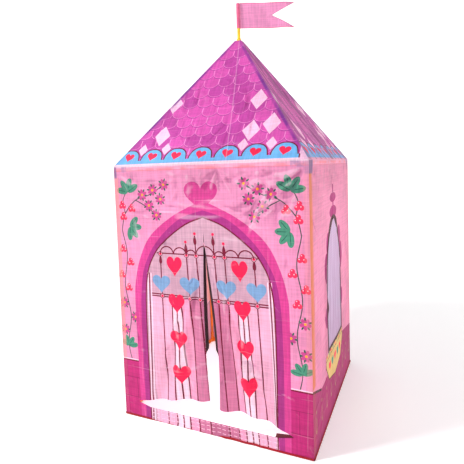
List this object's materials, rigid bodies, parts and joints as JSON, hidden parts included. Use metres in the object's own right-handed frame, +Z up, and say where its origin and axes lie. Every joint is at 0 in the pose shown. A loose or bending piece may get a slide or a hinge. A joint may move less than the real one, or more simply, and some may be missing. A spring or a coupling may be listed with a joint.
{
  "type": "kids play tent",
  "caption": "Square cloth play tower with a pyramid roof, slit door flaps, netted side windows, a push-fit tube frame and a swivelling pennant on top.",
  "frame": {"origin": "on the floor, at the middle of the tent's square base", "axes": "+Z up to the flag, -Y out through the door, +X to the right of someone who faces the door"},
  "size_m": [1.0012, 1.0036, 2.0899],
  "materials": {
    "orange_plastic": "satin",
    "blue_plastic": "satin",
    "yellow_plastic": "satin",
    "roof_cloth": "matte",
    "wall_cloth": "matte",
    "door_cloth": "matte",
    "window_net": "matte",
    "red_tape": "matte",
    "flag_cloth": "matte"
  },
  "bodies": {
    "tent": {"back_base_rail_a": "orange_plastic", "back_base_rail_b": "orange_plastic", "back_eave_rail_a": "orange_plastic", "back_eave_rail_b": "orange_plastic", "back_hem_tape": "red_tape", "back_left_eave_connector": "blue_plastic", "back_left_foot_connector": "orange_plastic", "back_left_post_lower": "orange_plastic", "back_left_post_upper": "orange_plastic", "back_left_rafter_lower": "blue_plastic", "back_left_rafter_upper": "blue_plastic", "back_right_eave_connector": "blue_plastic", "back_right_foot_connector": "orange_plastic", "back_right_post_lower": "orange_plastic", "back_right_post_upper": "orange_plastic", "back_right_rafter_lower": "blue_plastic", "back_right_rafter_upper": "blue_plastic", "back_roof_gore": "roof_cloth", "back_wall": "wall_cloth", "flag_stick": "yellow_plastic", "front_eave_rail_a": "orange_plastic", "front_eave_rail_b": "orange_plastic", "front_hem_tape": "red_tape", "front_left_eave_connector": "blue_plastic", "front_left_foot_connector": "orange_plastic", "front_left_post_lower": "orange_plastic", "front_left_post_upper": "orange_plastic", "front_left_rafter_lower": "blue_plastic", "front_left_rafter_upper": "blue_plastic", "front_right_eave_connector": "blue_plastic", "front_right_foot_connector": "orange_plastic", "front_right_post_lower": "orange_plastic", "front_right_post_upper": "orange_plastic", "front_right_rafter_lower": "blue_plastic", "front_right_rafter_upper": "blue_plastic", "front_roof_gore": "roof_cloth", "front_wall": "wall_cloth", "left_base_rail_a": "orange_plastic", "left_base_rail_b": "orange_plastic", "left_eave_rail_a": "orange_plastic", "left_eave_rail_b": "orange_plastic", "left_hem_tape": "red_tape", "left_roof_gore": "roof_cloth", "left_wall": "wall_cloth", "left_window_net": "window_net", "right_base_rail_a": "orange_plastic", "right_base_rail_b": "orange_plastic", "right_eave_rail_a": "orange_plastic", "right_eave_rail_b": "orange_plastic", "right_hem_tape": "red_tape", "right_roof_gore": "roof_cloth", "right_wall": "wall_cloth", "right_window_net": "window_net", "roof_hub": "yellow_plastic"},
    "door_left": {"door_flap_left": "door_cloth"},
    "door_right": {"door_flap_right": "door_cloth"},
    "pennant": {"flag": "flag_cloth"}
  },
  "joints": [
    {"name": "door_left_swing", "type": "hinge", "parent": "tent", "child": "door_left", "pos_m": [0, -0.48393, 0.94], "axis": [-0.427, -0.0155, -0.9041], "range_deg": [-90, 165]},
    {"name": "door_right_swing", "type": "hinge", "parent": "tent", "child": "door_right", "pos_m": [0, -0.48393, 0.94], "axis": [-0.427, 0.0155, 0.9041], "range_deg": [-90, 165]},
    {"name": "flag_swivel", "type": "hinge", "parent": "tent", "child": "pennant", "pos_m": [0, 0, 2], "axis": [0, 0, 1], "continuous": true}
  ]
}
